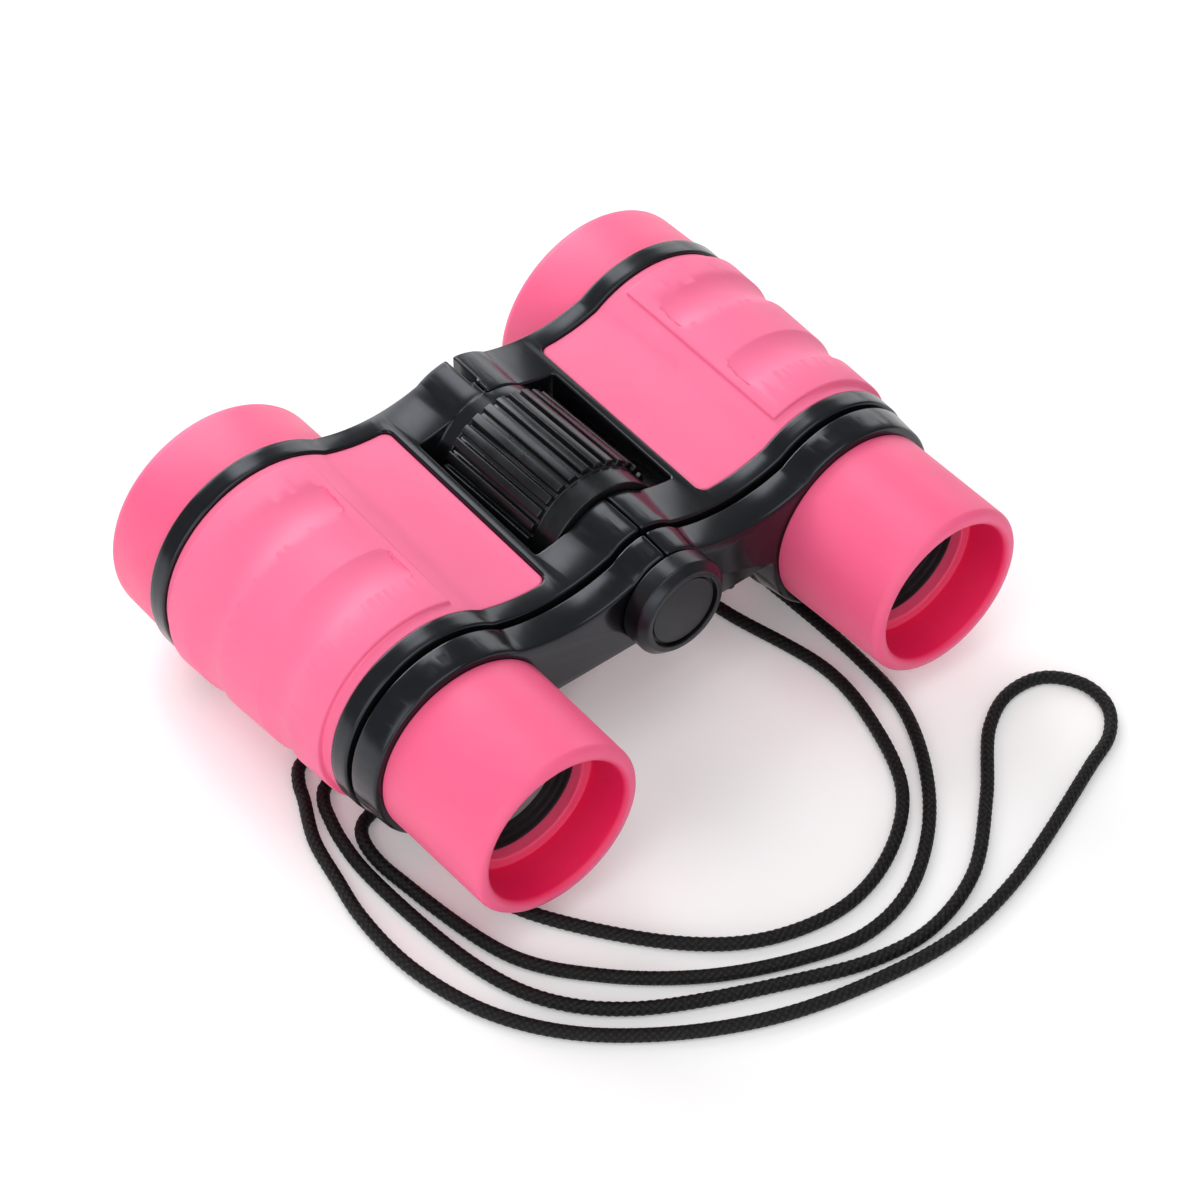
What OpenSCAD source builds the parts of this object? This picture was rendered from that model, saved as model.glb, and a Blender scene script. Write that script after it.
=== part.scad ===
// Toy folding binoculars with a focusing eyepiece bridge and a thin neck cord.
// +X runs from the left barrel to the right one, +Y from the eyecups to the
// objectives and +Z up. The origin is on the resting surface, under the centre.

/* [Body] */
// Distance between the two barrel axes
barrel_spacing = 76; // [72:0.5:86]
// Length of the black body between the arm seam and the hoods
body_len = 47; // [43:0.5:54]
// Radius of the body at the objective end
barrel_far_r = 20; // [19.5:0.1:21]
// Radius of the body at the eyepiece end
barrel_near_r = 17.3; // [16.8:0.1:18.5]
// Thickness of the guide wall that closes the eyepiece end
guide_wall = 2.6; // [2:0.1:5]
// Width of the black band at the objective end
far_band_w = 3.6; // [2.5:0.1:6]
// Width of the black band at the eyepiece end
near_band_w = 3.5; // [2.5:0.1:6]

/* [Bridge] */
// Radius of the hollow between a barrel and the hinge ridge
valley_r = 31; // [26:0.5:36]
// Depth of the underside of the bridge below the hinge axis
web_drop = 7.5; // [6.5:0.1:9]
// Gap between the focus wheel and each side of its window
window_gap = 1.2; // [0.8:0.1:3]
// Length of the window
window_len = 29; // [26:0.5:31]
// Length of the bridge between the window and the eyepiece end
near_bridge_len = 8.4; // [7:0.1:10]
// Width of the black strip between the window and the grip panel
strip_w = 1.8; // [1.2:0.1:3]
// Rounding of the inner corners of the grip panel
panel_round = 1.6; // [0.8:0.1:2.4]

/* [Hinge] */
// Height of the hinge axis above the barrel axes
hinge_rise = 6.8; // [5:0.1:9]
// Radius of the hinge ridge at the objective end
ridge_far_r = 11.3; // [10.8:0.1:12]
// Radius of the hinge ridge at the eyepiece end
ridge_near_r = 9.4; // [9:0.1:10]
// Radius of the hinge pin and of the focus spindle
pin_r = 2.6; // [2:0.1:2.9]
// Wall of the pivot tube at the eyepiece end
pivot_wall = 1.4; // [1:0.1:1.8]
// Wall of the hinge knuckles round the pivot tube
knuckle_wall = 2; // [1.4:0.1:2.4]
// Angle through which the halves fold
fold_angle = 50; // [30:1:55]
// How much smaller the round collar that carries the wheel is than the wheel
collar_step = 1.1; // [1:0.1:3]
// Length of the round collar
collar_len = 2.9; // [2:0.1:4]
// Width of the notch in the ridge at the objective end
notch_w = 1.2; // [0.6:0.1:2]
// Length of that notch
notch_len = 6.6; // [3:0.1:8]

/* [Grip] */
// Thickness of the soft grip panel
grip_t = 1.1; // [0.8:0.05:1.3]
// How far the panel lies below the black bands
grip_sink = 0.4; // [0.3:0.05:0.6]
// How far the pad stands above the black bands
pad_rise = 0.3; // [0.1:0.05:0.5]
// Shift of the pad towards the outer side
pad_shift = 0.4; // [0.1:0.05:0.6]
// Distance of the straight edge of the pad from the barrel axis
pad_edge = 6.7; // [4:0.1:10]
// Distance of the lower edge of the pad from the barrel axis, on the outer side
pad_low_edge = 8; // [7:0.1:12]
// Plain panel left at each end of the pad
pad_margin = 2; // [1:0.1:4]
// Number of finger scallops on each pad
scallop_count = 2; // [1:1:2]
// Distance between finger scallops
scallop_pitch = 16.5; // [13:0.5:17]
// Radius of the section of a scallop
scallop_r = 9.9; // [8:0.1:12]
// Deepest cut of a scallop
scallop_depth = 0.7; // [0.3:0.05:0.8]
// Shift by which the scallops fade out towards the underside
scallop_shift = 0.3; // [0.2:0.05:0.5]
// Distance of the straight end of a scallop from the barrel axis
scallop_edge = 5.2; // [3:0.1:6]

/* [Objective] */
// Length of the hood past the body
hood_len = 12.5; // [10:0.5:18]
// How much smaller the hood is than the body
hood_step = 0.6; // [0.2:0.1:1]
// Rounding of the outer edge of the hood
hood_round = 2.1; // [1:0.1:2.1]
// Rounding of the mouth of the hood
mouth_round = 0.6; // [0.3:0.1:0.6]
// Wall of the hood at its mouth
hood_wall = 3; // [3:0.1:3.6]
// Depth of the mouth down to the lens ring
hood_mouth_depth = 5.2; // [4:0.1:6]
// How much smaller the pocket of the lens is than the mouth
pocket_step = 0.5; // [0.3:0.1:1]
// Wall of the body round the spigot of the hood
spigot_inset = 4; // [3.8:0.1:4.4]
// Wall of the spigot
spigot_wall = 2.5; // [2:0.1:3]
// Length of the spigot
spigot_len = 6; // [4:0.1:9]
// How much smaller the bore down the barrel is than the spigot
bore_step = 1.9; // [1.6:0.1:2.5]
// Edge thickness of the objective lens
objective_edge = 1.8; // [1:0.1:2.5]
// Radius of the domed face of the objective lens
objective_dome_r = 60; // [45:1:90]
// Width of the ring that holds the objective lens
objective_lip = 1.1; // [0.8:0.1:1.6]
// Thickness of that ring
objective_ring_t = 2.4; // [1.5:0.1:3]

/* [Eyepiece] */
// Length of the eyecup
eyecup_len = 22; // [18:0.5:26]
// Wall of the eyecup round the draw tube
eyecup_wall = 2.2; // [1.8:0.1:3]
// How much smaller the eyecup is at its rim
eyecup_taper = 0.4; // [0:0.1:0.8]
// Wall of the eyecup at its rim
rim_wall = 2.5; // [2.4:0.1:3.2]
// Depth of the opening of the eyecup
eyecup_bore_depth = 8; // [6:0.1:10]
// Rounding of the outer edge of the eyecup
eyecup_round = 1.4; // [0.8:0.1:1.4]
// Rounding of the inner edge of the eyecup
eyecup_inner_round = 0.9; // [0.5:0.1:0.9]
// Thickness of the shoulder inside the eyecup
eyecup_shoulder_t = 2; // [1.2:0.1:3]
// Width of that shoulder
shoulder_step = 1.7; // [0.6:0.1:1.8]
// Wall of the body round the draw tube
tube_inset = 4.3; // [4:0.1:5]
// Wall of the draw tube
tube_wall = 1.6; // [1.2:0.1:1.7]
// Length of the draw tube left in the barrel when it is drawn out
tube_hold = 12; // [8:0.5:18]
// Depth of the lens pocket at the front of the draw tube
pocket_depth = 4.2; // [3.6:0.1:6]
// Thickness of the lens seat inside the draw tube
seat_t = 2; // [1.2:0.1:3]
// Width of the lens seat
seat_lip = 1.8; // [1.2:0.1:2.4]
// Edge thickness of the eye lens
eye_edge = 1.4; // [0.8:0.1:1.8]
// Radius of the domed face of the eye lens
eye_dome_r = 40; // [30:1:80]
// Width of the ring that holds the eye lens
eye_lip = 2; // [1.2:0.1:2.6]

/* [Arms] */
// Thickness of the eyepiece arms
arm_t = 5.2; // [4.6:0.1:6]
// Seam between the arms and the body
arm_seam = 0.8; // [0.5:0.1:1.5]
// How much smaller the arms are than the body at the seam
arm_step = 0.3; // [0:0.1:0.8]
// How much smaller the front of the arm is than its back
arm_taper = 0.6; // [0.2:0.1:0.8]
// How much smaller the front of the ridge on the arms is than its back
arm_ridge_taper = 0.6; // [0.2:0.1:0.8]
// How much higher the underside of the arms lies than the bridge
arm_lift = 0.4; // [0:0.1:1]

/* [Focus] */
// Travel of the eyepiece bridge
focus_travel = 5; // [3:0.5:6]
// Radius of the focus wheel over its ribs
wheel_r = 12; // [11.2:0.1:12.4]
// Number of ribs on the wheel
rib_count = 30; // [20:1:34]
// Width of a rib
rib_w = 1.5; // [1.2:0.1:2]
// How much lower the wheel is between its ribs
rib_depth = 0.9; // [0.6:0.05:1]
// Length of the smooth collar of the wheel
wheel_collar_len = 4.4; // [3:0.1:6]
// How much smaller the smooth collar of the wheel is than the ribs
wheel_collar_step = 1.2; // [1:0.1:2.4]
// Wall of the nut inside the wheel
nut_wall = 2.6; // [2:0.1:3.6]
// Length of the nut
nut_len = 12; // [8:0.5:13]
// Length of the spindle left in the nut when it is drawn out
spindle_hold = 6.5; // [5:0.1:9]
// Length of the pivot tube and of the pin inside the wheel
journal_len = 4; // [3:0.1:5]

/* [Hinge cap] */
// Radius of the cap on the hinge
cap_r = 8.4; // [7.8:0.1:8.4]
// Thickness of the cap
cap_t = 4.4; // [3.6:0.1:6]
// Chamfer round the front of the cap
cap_chamfer = 0.8; // [0.5:0.1:1.2]
// Width of the rim round the recess in the front of the cap
cap_rim = 2.1; // [1.8:0.1:2.6]
// Depth of that recess
cap_recess = 1; // [0.6:0.1:1.4]
// Thickness of the disc set in the recess
inlay_t = 0.6; // [0.3:0.05:0.8]
// Depth of the spindle inside the cap
cap_socket = 2.4; // [1.5:0.1:2.8]

/* [Neck cord] */
// Thickness of the cord
cord_d = 2.2; // [2:0.1:2.4]
// Distance of each cord lug from the middle
lug_x = 17.8; // [17:0.1:18.6]
// Thickness of each lug
lug_t = 2; // [1.5:0.1:2.4]
// Width of each lug
lug_w = 5.6; // [5:0.1:6.5]
// Depth of the lug hole below the underside of the bridge
lug_drop = 4; // [3.6:0.1:5]
// Radius of the knot at each end of the cord
knot_r = 2.1; // [1.8:0.1:2.4]

/* [Fits] */
// Radial gap of parts that turn or slide on each other
run_gap = 0.06; // [0.04:0.01:0.1]
// Gap of parts that are fixed to each other
seat_gap = 0.05; // [0.02:0.01:0.08]
// Gap between the two halves along the split line
split_gap = 0.15; // [0.1:0.01:0.25]
// Gap beside knuckles and other turning faces
face_gap = 0.25; // [0.2:0.05:0.4]
// Gap round a knuckle of the other half
knuckle_gap = 0.3; // [0.25:0.05:0.4]
// Gap round the cord in its lug
cord_gap = 0.3; // [0.2:0.05:0.5]

/* [Hidden] */
$fn = 64;

pink = "#f7739b";
black = "#1b1b1e";
glass = "#9fb6c9";
metal = "#b8bcc2";
brass = "#c9a85a";

// One overrun for every cut
overrun = 1;
// Fineness of the lens domes
dome_fn = 360;
// Fineness of the section of a scallop
scallop_fn = 96;
// Extra room of the fold relief, in degrees
fold_room = 2;
// Depth of overlap where the hollow runs into barrel and ridge
valley_bite = 0.4;
// Share of the near bridge that the left knuckle takes
near_knuckle_share = 0.5;
// Share of the far bridge that the left knuckle takes
far_knuckle_share = 0.5;
// Share of the arm that the left knuckle takes
arm_knuckle_share = 0.5;
// Depth to which a rib stands in the wheel
rib_root = 0.3;
// Angle of the deepest place of the scallops, from straight up
scallop_angle = 40;

// Radii of the hinge, from the pin outwards
pivot_r = pin_r + pivot_wall;
nut_r = pin_r + nut_wall;
knuckle_r = pivot_r + knuckle_wall;
collar_r = wheel_r - collar_step;
wheel_collar_r = wheel_r - wheel_collar_step;
window_half_w = wheel_r + window_gap;
cap_recess_r = cap_r - cap_rim;

// Radii of the objective end, from the body inwards
hood_r = barrel_far_r - hood_step;
hood_mouth_r = hood_r - hood_wall;
hood_pocket_r = hood_mouth_r - pocket_step;
objective_ring_r = hood_pocket_r - objective_lip;
spigot_r = barrel_far_r - spigot_inset;
hood_bore_r = spigot_r - spigot_wall;
barrel_bore_r = spigot_r - bore_step;

// Radii of the eyepiece end, from the body inwards
arm_r = barrel_near_r - arm_step;
arm_ridge_r = ridge_near_r - arm_step;
tube_r = barrel_near_r - tube_inset;
pocket_r = tube_r - tube_wall;
seat_r = pocket_r - seat_lip;
eye_ring_r = pocket_r - eye_lip;
eyecup_r = tube_r + eyecup_wall;
eyecup_rim_r = eyecup_r - eyecup_taper;
eyecup_bore_r = eyecup_rim_r - rim_wall;
eyecup_shoulder_r = eyecup_bore_r - shoulder_step;

// Places along Y, from the eyecup rim to the rim of the hood
total_len = eyecup_len + arm_t + arm_seam + body_len + hood_len;
rim_y = -total_len / 2;
arm_front_y = rim_y + eyecup_len;
arm_back_y = arm_front_y + arm_t;
near_y = arm_back_y + arm_seam;
far_y = near_y + body_len;
hood_y = far_y + hood_len;
window_near_y = near_y + near_bridge_len;
window_far_y = window_near_y + window_len;
panel_near_y = near_y + near_band_w;
panel_far_y = far_y - far_band_w;

// Axes
barrel_x = barrel_spacing / 2;
pad_far_r = barrel_near_r + (barrel_far_r - barrel_near_r) * (body_len - far_band_w - pad_margin) / body_len;
axis_z = max(barrel_far_r, pad_far_r + pad_rise);
hinge_z = axis_z + hinge_rise;
web_z = hinge_z - web_drop;
panel_x = window_half_w + strip_w;
grip_depth = grip_sink + grip_t;
reach = barrel_spacing + body_len;

// Hinge places
near_split_y = window_near_y - near_knuckle_share * near_bridge_len;
far_split_y = window_far_y + far_knuckle_share * (far_y - window_far_y);
arm_split_y = arm_back_y - arm_knuckle_share * arm_t;
collar_far_y = window_far_y - split_gap;
collar_near_y = collar_far_y - collar_len;
knuckle_clear_r = knuckle_r + knuckle_gap;

// Wheel places
wheel_near_y = window_near_y + face_gap;
wheel_far_y = collar_near_y - face_gap;
rib_near_y = wheel_near_y + wheel_collar_len;
pivot_end_y = wheel_near_y + journal_len;
nut_near_y = pivot_end_y + face_gap;
nut_far_y = nut_near_y + nut_len;
pin_end_y = wheel_far_y - journal_len;
wheel_core_r = wheel_r - rib_depth;
spindle_end_y = nut_near_y + spindle_hold + focus_travel;

// Hinge cap places
cap_back_y = arm_front_y - face_gap;
cap_front_y = cap_back_y - cap_t;
recess_y = cap_front_y + cap_recess;
spindle_front_y = cap_back_y - cap_socket;

// Eyepiece places
tube_front_y = rim_y + eyecup_bore_depth + eyecup_shoulder_t;
tube_back_y = near_y + tube_hold + focus_travel;
eye_seat_y = tube_front_y + pocket_depth;
eye_lens_y = eye_seat_y - eye_edge;

// Objective places
ring_front_y = hood_y - hood_mouth_depth;
lens_front_y = ring_front_y - objective_ring_t;
lens_seat_y = lens_front_y - objective_edge;
spigot_y = far_y - spigot_len;

// Cord places
cord_r = cord_d / 2;
lug_z = web_z - lug_drop;
lug_far_y = panel_near_y;
lug_near_y = lug_far_y - lug_t;
lug_hole_r = cord_r + cord_gap;
knot_flat = sqrt(knot_r * knot_r - cord_r * cord_r);
cord_sides = 8;

// Route of the cord where it lies free: x, y and rise above the surface
cord_route = [
  [-18, -6, 12.6], [-18.6, -1.6, 9.8], [-20.6, 0.4, 5.7], [-23.2, -1.2, 1.9], [-25.2, -5.6, 0],
  [-27.5, -9.4, 0], [-30.2, -12.1, 0], [-33.9, -12.7, 0], [-37.1, -10.8, 0], [-39.2, -7.3, 0],
  [-40.9, -3.5, 0], [-42.3, -0.1, 0], [-43.5, 2.6, 0], [-45.5, 4.75, 0], [-48.1, 5.42, 0],
  [-50.7, 4.5, 0], [-52.6, 1.9, 0], [-54, -1.4, 0], [-57.4, -8.8, 0], [-59.3, -17.5, 0],
  [-60.7, -25.5, 0], [-60.6, -37.5, 0], [-57, -50.5, 0], [-50, -61, 0], [-38.5, -70.5, 0],
  [-24.5, -77.7, 0], [-9.5, -81.6, 0], [4.5, -83, 0], [18.5, -80.8, 0], [43.5, -71.8, 0],
  [50.5, -69, 0], [54.5, -64.5, 0], [54.8, -59, 0], [51, -54, 0], [44.5, -53, 0],
  [37.5, -56, 0], [26.5, -66.5, 0], [14.5, -76, 0], [2.5, -79.6, 0], [-7.5, -78.6, 0],
  [-18.5, -74.5, 0], [-40.5, -63.3, 0], [-49, -54.3, 0], [-53.1, -43.5, 0], [-55.1, -19.5, 0],
  [-54.3, -11.5, 0], [-53.1, -6.8, 0], [-51.9, -3.6, 0], [-50.2, -1.45, 0], [-47.7, -0.64, 0],
  [-45.3, -1.25, 0], [-43.6, -3, 0], [-43.05, -5.3, 0], [-43.75, -7.6, 0], [-45.3, -9.15, 0],
  [-47.4, -9.9, 0], [-49.5, -10.65, 0], [-51, -12.05, 0], [-52, -14.6, 0], [-52.4, -18, 0],
  [-52.2, -22, 0], [-48, -45, 0], [-40, -56, 0], [-28.5, -65.5, 0], [-15.5, -71.8, 0],
  [-5.5, -74.3, 0], [4.5, -72.5, 0], [15, -65.8, 0], [23.5, -56.2, 0], [29.5, -44.5, 0],
  [31.3, -32.5, 0], [31.6, -13, 0], [31.4, -6, 0], [30.4, -3, 0], [27.9, -1.1, 0],
  [24.7, -1.1, 0], [22.2, -3, 0], [21.2, -6, 0], [21.8, -12, 0], [25.7, -31.5, 0],
  [23.5, -44.5, 0], [17.5, -57.5, 0], [7, -65.5, 0], [-4.5, -68.5, 0], [-17.5, -65.7, 0],
  [-28.5, -57.5, 0], [-42, -38, 0], [-42.8, -32, 0], [-38.5, -27.2, 0], [-28, -24.6, 0],
  [-20.5, -17.6, 0], [-7.5, -3.6, 0], [11, 0.6, 0], [15, 0.8, 1.6], [17.6, -1, 5.8],
  [18.2, -5.4, 11.2]
];
cord_line = concat(
  [[-lug_x, lug_near_y - cord_gap, lug_z], [-lug_x, lug_far_y + cord_gap, lug_z]],
  [for (p = cord_route) [p[0], p[1], cord_r + p[2]]],
  [[lug_x, lug_far_y + cord_gap, lug_z], [lug_x, lug_near_y - cord_gap, lug_z]]
);

// Building blocks

// Rod along Y between two places
module rod(y0, y1, r, x = 0, z = 0) {
  translate([x, y0, z]) rotate([-90, 0, 0]) cylinder(h = y1 - y0, r = r);
}

// Tapered rod along Y between two places
module taper(y0, y1, r0, r1, x = 0, z = 0) {
  translate([x, y0, z]) rotate([-90, 0, 0]) cylinder(h = y1 - y0, r1 = r0, r2 = r1);
}

// Turned piece: the outline is drawn as radius and place along Y
module turned(x = 0, z = 0) {
  translate([x, 0, z]) rotate([-90, 0, 0]) rotate_extrude() children();
}

// Upright outline in X and Z, drawn out along Y
module drawn(y0, y1) {
  translate([0, y1, 0]) rotate([90, 0, 0]) linear_extrude(height = y1 - y0) children();
}

// Slab across the whole width between two places along Y
module slab(y0, y1, x0 = -reach, x1 = reach) {
  translate([x0, y0, -reach]) cube([x1 - x0, y1 - y0, 2 * reach]);
}

// Places a right hand shape on its side of the hinge
module on_side(right) {
  if (right) children();
  else mirror([1, 0, 0]) children();
}

// Shape of one half, right hand

// Centre of the hollow that touches a barrel of radius r and a ridge of radius g
function valley_centre(r, g) =
  let (
    p = [0, hinge_z],
    q = [barrel_x, axis_z],
    a = g + valley_r - valley_bite,
    b = r + valley_r - valley_bite,
    d = norm(q - p),
    l = (a * a - b * b + d * d) / (2 * d),
    h = sqrt(a * a - l * l),
    u = (q - p) / d
  ) p + l * u + h * [-u[1], u[0]];

// Barrel, bridge and ridge between two places along Y, each face moved in by cut
module half_form(y0, y1, r0, r1, g0, g1, z_low, cut = 0) {
  c0 = valley_centre(r0, g0);
  c1 = valley_centre(r1, g1);
  run = [c1[0] - c0[0], y1 - y0, c1[1] - c0[1]];
  in0 = c0[0] * g0 / (g0 + valley_r);
  in1 = c1[0] * g1 / (g1 + valley_r);
  out0 = barrel_x + (c0[0] - barrel_x) * r0 / (r0 + valley_r);
  out1 = barrel_x + (c1[0] - barrel_x) * r1 / (r1 + valley_r);
  taper(y0, y1, r0 - cut, r1 - cut, barrel_x, axis_z);
  taper(y0, y1, g0, g1, 0, hinge_z);
  difference() {
    translate([0, 0, z_low + cut])
      linear_extrude(height = axis_z + r1 - z_low - cut)
        polygon([[in0, y0], [out0, y0], [out1, y1], [in1, y1]]);
    translate([c0[0], y0, c0[1]])
      rotate([0, acos(run[2] / norm(run)), atan2(run[1], run[0])])
        translate([0, 0, -valley_r])
          cylinder(h = norm(run) + 2 * valley_r, r = valley_r + cut);
  }
}

// Body shape of one half, with its faces moved in by cut
module body_form(cut = 0) {
  half_form(near_y, far_y, barrel_near_r, barrel_far_r, ridge_near_r, ridge_far_r, web_z, cut);
}

// Space that belongs to the right half: split above the axis, open wedge below it
module own_side(y0, y1) {
  drawn(y0 - overrun, y1 + overrun)
    polygon([
      [split_gap, hinge_z + reach],
      [reach, hinge_z + reach],
      [reach, hinge_z - reach],
      [split_gap + reach * tan(fold_angle / 2 + fold_room), hinge_z - reach],
      [split_gap, hinge_z]
    ]);
}

// Rounding of an outline's corner: a quarter disc that bulges the given ways
module corner_round(r, y, rounding, r_way, y_way) {
  centre = [r - r_way * rounding, y - y_way * rounding];
  intersection() {
    translate(centre) circle(r = rounding);
    translate([min(r, centre[0]), min(y, centre[1])]) square(rounding);
  }
}

// Corner of an outline that is cut away for its rounding
module corner_cut(r, y, rounding, r_way, y_way) {
  centre = [r - r_way * rounding, y - y_way * rounding];
  outside = [r + r_way * overrun, y + y_way * overrun];
  translate([min(centre[0], outside[0]), min(centre[1], outside[1])]) square(rounding + overrun);
}

// Upright prism over the grip panel, made smaller by gap, with its inner corners rounded
module panel_plan(gap = 0) {
  x0 = panel_x + gap;
  y0 = panel_near_y + gap;
  y1 = panel_far_y - gap;
  translate([0, 0, axis_z - reach]) linear_extrude(height = 2 * reach) {
    difference() {
      translate([x0, y0]) square([reach, y1 - y0]);
      corner_cut(x0, y0, panel_round, -1, -1);
      corner_cut(x0, y1, panel_round, -1, 1);
    }
    corner_round(x0, y0, panel_round, -1, -1);
    corner_round(x0, y1, panel_round, -1, 1);
  }
}

// Frame of one half: lead is the half that carries the pin and the wheel
module half_frame(lead) {
  near_ring = lead ? [near_split_y + face_gap / 2, window_near_y] : [near_y, near_split_y - face_gap / 2];
  far_ring = lead ? [collar_near_y, far_split_y - face_gap / 2] : [far_split_y + face_gap / 2, far_y];
  near_relief = lead ? [near_y - overrun, near_split_y + face_gap / 2]
    : [near_split_y - face_gap / 2, window_near_y + overrun];
  far_relief = lead ? [far_split_y - face_gap / 2, far_y + overrun]
    : [window_far_y - overrun, far_split_y + face_gap / 2];
  gap = lead ? seat_gap : run_gap;
  difference() {
    union() {
      difference() {
        intersection() {
          union() {
            body_form(grip_depth);
            difference() {
              body_form();
              panel_plan();
            }
          }
          own_side(near_y, far_y);
        }
        slab(window_near_y, window_far_y, -reach, window_half_w);
        rod(near_relief[0], near_relief[1], knuckle_clear_r, 0, hinge_z);
        rod(far_relief[0], far_relief[1], knuckle_clear_r, 0, hinge_z);
        translate([0, far_y - notch_len, hinge_z + knuckle_clear_r])
          cube([notch_w / 2, notch_len + overrun, reach]);
      }
      rod(near_ring[0], near_ring[1], knuckle_r, 0, hinge_z);
      rod(far_ring[0], far_ring[1], knuckle_r, 0, hinge_z);
      if (lead) rod(collar_near_y, collar_far_y, collar_r, 0, hinge_z);
      if (lead) intersection() {
        rod(collar_near_y, window_far_y + overrun, collar_r, 0, hinge_z);
        own_side(near_y, far_y);
      }
      translate([lug_x - lug_w / 2, lug_near_y, lug_z]) cube([lug_w, lug_t, lug_drop + grip_depth]);
      rod(lug_near_y, lug_far_y, lug_w / 2, lug_x, lug_z);
    }
    rod(near_y + guide_wall, far_y + overrun, barrel_bore_r, barrel_x, axis_z);
    rod(near_y - overrun, far_y, tube_r + run_gap, barrel_x, axis_z);
    rod(spigot_y, far_y + overrun, spigot_r + seat_gap, barrel_x, axis_z);
    rod(near_y - overrun, window_near_y + overrun, pivot_r + gap, 0, hinge_z);
    rod(collar_near_y - overrun, far_y + overrun, pin_r + gap, 0, hinge_z);
    rod(lug_near_y - overrun, lug_far_y + overrun, lug_hole_r, lug_x, lug_z);
  }
}

// Soft panel of one half, with its raised pad and finger scallops
module half_grip() {
  scallop_span = scallop_pitch * (scallop_count - 1);
  middle_y = (panel_near_y + panel_far_y) / 2;
  difference() {
    intersection() {
      union() {
        body_form(grip_sink);
        difference() {
          intersection() {
            taper(
              near_y, far_y, barrel_near_r + pad_rise, barrel_far_r + pad_rise, barrel_x + pad_shift, axis_z
            );
            slab(panel_near_y + pad_margin, panel_far_y - pad_margin, barrel_x - pad_edge, reach);
          }
          translate([0, near_y, axis_z - reach]) cube([barrel_x + pad_low_edge, body_len, reach]);
        }
      }
      panel_plan(seat_gap);
    }
    body_form(grip_depth - seat_gap);
    for (i = [0 : scallop_count - 1]) {
      y = middle_y - scallop_span / 2 + i * scallop_pitch;
      r = barrel_near_r + (barrel_far_r - barrel_near_r) * (y - near_y) / body_len;
      intersection() {
        turned(
          barrel_x + pad_shift - scallop_shift * sin(scallop_angle),
          axis_z - scallop_shift * cos(scallop_angle)
        )
          translate([r + pad_rise + scallop_r + scallop_shift - scallop_depth, y])
            circle(r = scallop_r, $fn = scallop_fn);
        slab(panel_near_y, panel_far_y, barrel_x - scallop_edge, reach);
      }
    }
  }
}

// Hood of one half
module half_hood() {
  turned(barrel_x, axis_z) {
    difference() {
      polygon([
        [hood_bore_r, spigot_y], [spigot_r, spigot_y], [spigot_r, far_y], [hood_r, far_y],
        [hood_r, hood_y], [hood_mouth_r, hood_y], [hood_mouth_r, ring_front_y],
        [hood_pocket_r, ring_front_y], [hood_pocket_r, lens_seat_y], [hood_bore_r, lens_seat_y]
      ]);
      corner_cut(hood_r, hood_y, hood_round, 1, 1);
      corner_cut(hood_mouth_r, hood_y, mouth_round, -1, 1);
    }
    corner_round(hood_r, hood_y, hood_round, 1, 1);
    corner_round(hood_mouth_r, hood_y, mouth_round, -1, 1);
  }
}

// Turned lens: a flat edge and a domed face that bulges the given way along Y
module lens(back_y, front_y, edge_r, dome_edge_r, dome_r, way) {
  depth = sqrt(dome_r * dome_r - dome_edge_r * dome_edge_r);
  turned(barrel_x, axis_z) {
    translate([0, min(back_y, front_y)]) square([edge_r, abs(front_y - back_y)]);
    intersection() {
      translate([0, way > 0 ? front_y : front_y - dome_r]) square([dome_edge_r, dome_r]);
      translate([0, front_y - way * depth]) circle(r = dome_r, $fn = dome_fn);
    }
  }
}

// Objective lens of one half
module half_objective_lens() {
  lens(
    lens_seat_y, lens_front_y, hood_pocket_r - seat_gap, objective_ring_r - seat_gap, objective_dome_r, 1
  );
}

// Ring that holds the objective lens
module half_objective_ring() {
  difference() {
    rod(lens_front_y, ring_front_y, hood_pocket_r - seat_gap, barrel_x, axis_z);
    rod(lens_front_y - overrun, hood_y, objective_ring_r, barrel_x, axis_z);
  }
}

// Arm of one half: lead is the arm that is fixed to the spindle
module half_arm(lead) {
  ring = lead ? [arm_split_y + face_gap / 2, arm_back_y] : [arm_front_y, arm_split_y - face_gap / 2];
  relief = lead ? [arm_front_y - overrun, arm_split_y + face_gap / 2]
    : [arm_split_y - face_gap / 2, arm_back_y + overrun];
  difference() {
    union() {
      difference() {
        intersection() {
          half_form(
            arm_front_y, arm_back_y, arm_r - arm_taper, arm_r, arm_ridge_r - arm_ridge_taper, arm_ridge_r,
            web_z + arm_lift
          );
          own_side(arm_front_y, arm_back_y);
        }
        rod(relief[0], relief[1], knuckle_clear_r, 0, hinge_z);
      }
      rod(ring[0], ring[1], knuckle_r, 0, hinge_z);
    }
    rod(arm_front_y - overrun, arm_back_y + overrun, tube_r + seat_gap, barrel_x, axis_z);
    rod(arm_front_y - overrun, arm_back_y + overrun, pin_r + (lead ? seat_gap : run_gap), 0, hinge_z);
  }
}

// Draw tube of one half, with the pocket for the eye lens
module half_draw_tube() {
  turned(barrel_x, axis_z)
    polygon([
      [pocket_r, tube_front_y], [tube_r, tube_front_y], [tube_r, tube_back_y], [pocket_r, tube_back_y],
      [pocket_r, eye_seat_y + seat_t], [seat_r, eye_seat_y + seat_t], [seat_r, eye_seat_y],
      [pocket_r, eye_seat_y]
    ]);
}

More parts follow.
